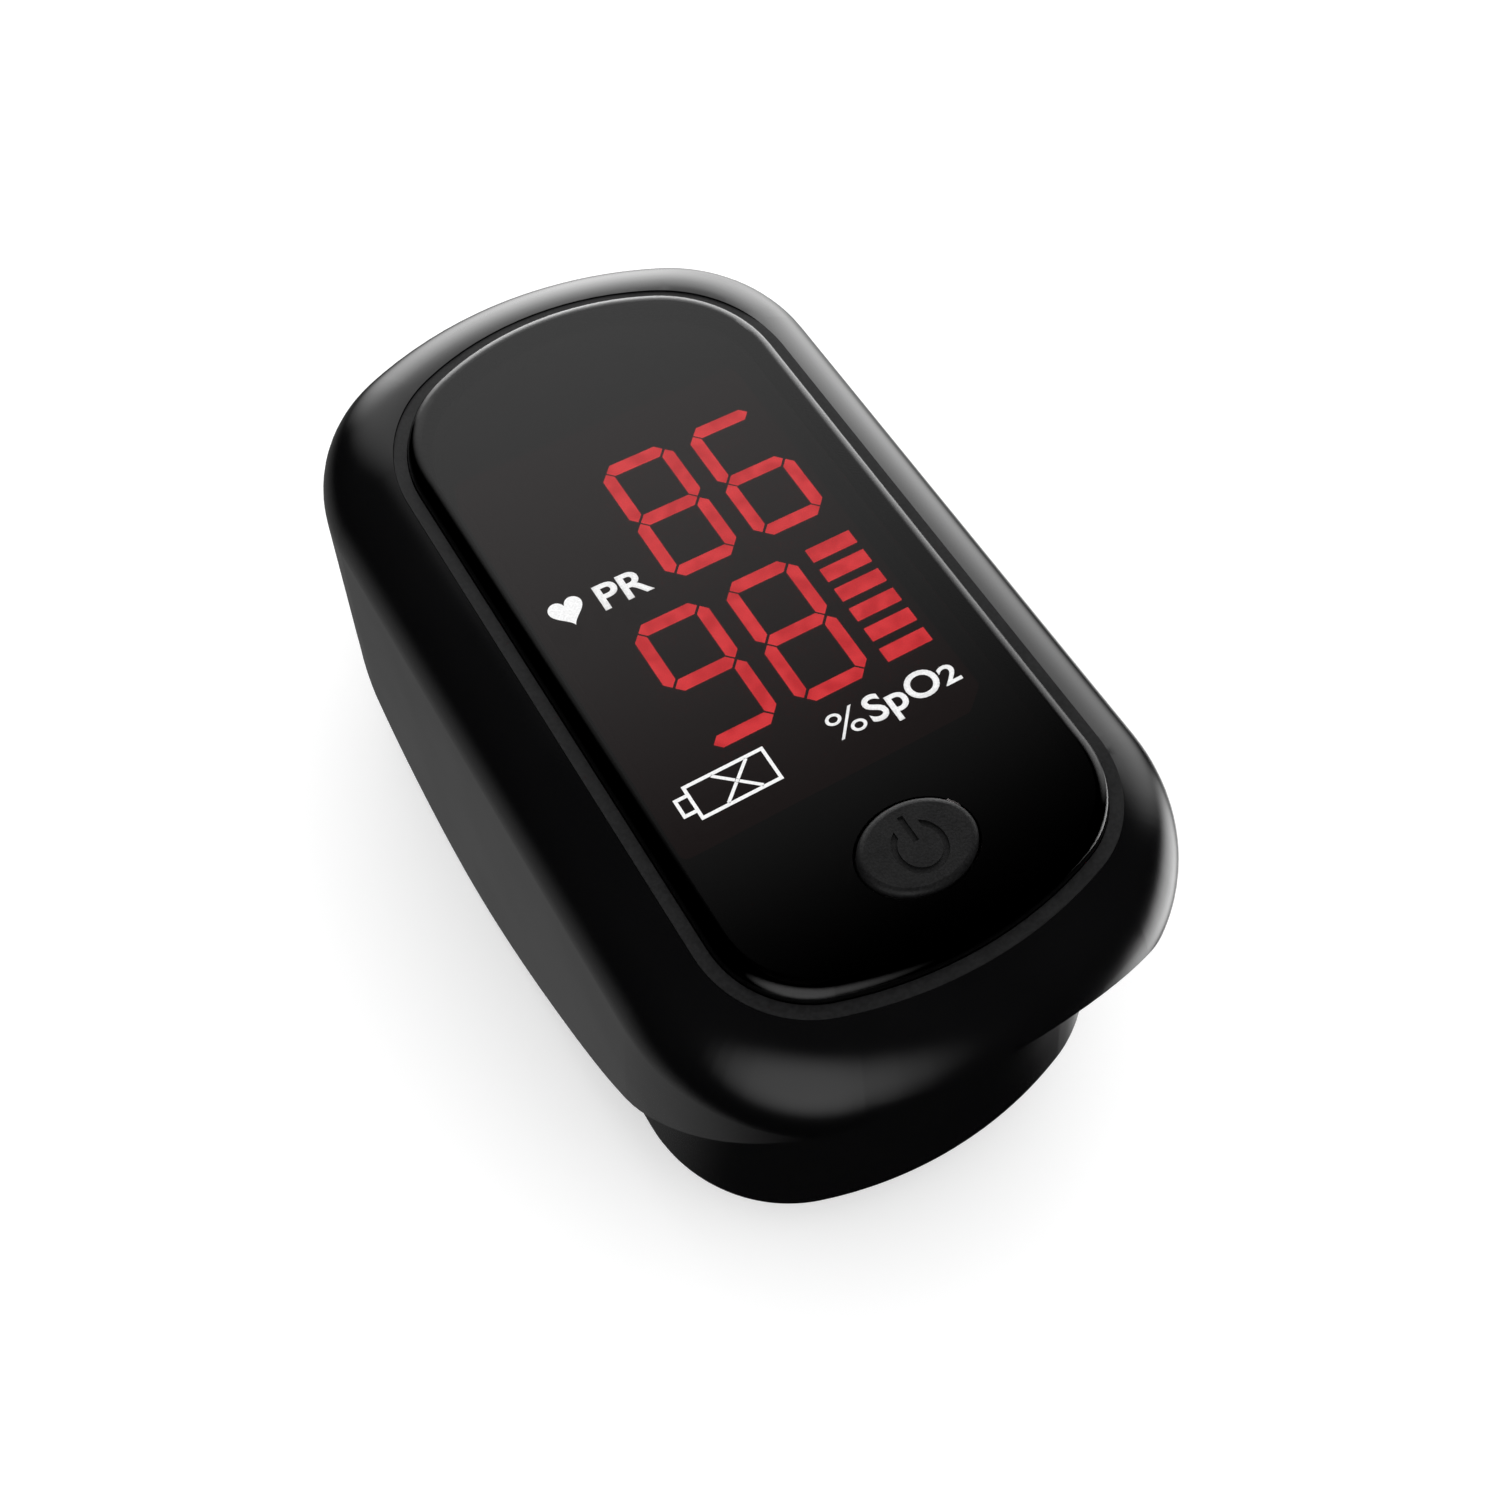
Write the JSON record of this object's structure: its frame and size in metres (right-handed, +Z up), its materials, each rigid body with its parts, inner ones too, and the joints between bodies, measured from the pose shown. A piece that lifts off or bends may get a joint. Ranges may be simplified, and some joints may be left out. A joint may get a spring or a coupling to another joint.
{
  "type": "fingertip pulse oximeter",
  "caption": "Clip-on fingertip pulse oximeter: two sprung jaws with padded finger channel, smoked display window, press button and sliding battery cover.",
  "frame": {"origin": "middle of the underside, on the surface the lower jaw rests on", "axes": "+Y along the finger channel from the finger opening to the pinch end, +Z up through the display, +X to the right"},
  "size_m": [0.0342, 0.0591, 0.0304],
  "materials": {
    "upper_shell_black": "gloss injection-moulded ABS",
    "bezel_grey": "fine matt texture",
    "smoked_window": "polished smoked acrylic",
    "adhesive_black": "foam tape",
    "button_grey": "satin, fine grain",
    "switch_case": "moulded",
    "plunger_ivory": "moulded",
    "board_green": "solder mask",
    "display_black": "satin",
    "digit_red": "glowing light pipe",
    "chip_black": "epoxy",
    "can_steel": "nickel plated",
    "capacitor_tan": "ceramic chips",
    "connector_ivory": "moulded",
    "frame_black": "fine texture",
    "silicone_dark": "matt silicone",
    "led_clear": "clear epoxy lens",
    "screw_steel": "zinc plated",
    "lower_shell_black": "gloss injection-moulded ABS",
    "cover_black": "fine texture",
    "photodiode_dark": "epoxy lens",
    "ribbon_amber": "polyimide film",
    "cell_jacket": "printed jacket, no lettering",
    "pin_steel": "ground",
    "contact_nickel": "nickel plated",
    "spring_steel": "nickel plated wire"
  },
  "bodies": {
    "base": {"lower_shell": "lower_shell_black", "lower_frame": "frame_black", "lower_pad": "silicone_dark", "photodiode": "photodiode_dark", "sensor_board": "board_green", "sensor_ribbon": "ribbon_amber", "battery_left": "cell_jacket", "battery_right": "cell_jacket", "lower_screws": "screw_steel", "hinge_pin": "pin_steel", "contact_sheet_near": "contact_nickel", "contact_sheet_far": "contact_nickel", "contact_spring_near": "spring_steel", "contact_spring_far": "spring_steel", "torsion_spring_left": "spring_steel", "torsion_spring_right": "spring_steel"},
    "jaw": {"upper_shell": "upper_shell_black", "bezel_ring": "bezel_grey", "display_window": "smoked_window", "window_adhesive": "adhesive_black", "tact_switch": "switch_case", "main_board": "board_green", "display_module": "display_black", "lit_digits": "digit_red", "pulse_bars": "digit_red", "microcontroller": "chip_black", "amplifier_chip": "chip_black", "crystal": "can_steel", "board_capacitors": "capacitor_tan", "ribbon_connector": "connector_ivory", "upper_frame": "frame_black", "upper_pad": "silicone_dark", "emitter_led": "led_clear", "upper_screws": "screw_steel"},
    "button": {"power_button": "button_grey"},
    "plunger": {"switch_plunger": "plunger_ivory"},
    "cover": {"battery_cover": "cover_black"}
  },
  "joints": [
    {"name": "jaw_hinge", "type": "hinge", "parent": "base", "child": "jaw", "pos_m": [0, 0.008, 0.0158], "axis": [-1, 0, 0], "range_deg": [0, 15], "stiffness_Nm_per_rad": 0.1, "springref_deg": -34.38, "deforming": ["torsion_spring_left", "torsion_spring_right", "sensor_ribbon"]},
    {"name": "button_press", "type": "slide", "parent": "jaw", "child": "button", "axis": [0, 0, -1], "range_m": [0, 0.00025], "stiffness_N_per_m": 3000},
    {"name": "switch_press", "type": "slide", "parent": "jaw", "child": "plunger", "axis": [0, 0, -1], "range_m": [0, 0.00025]},
    {"name": "cover_slide", "type": "slide", "parent": "base", "child": "cover", "axis": [0, 1, 0], "range_m": [0, 0.012]}
  ],
  "couplings": [
    {"joint": "switch_press", "follows": "button_press", "ratio": 1}
  ]
}
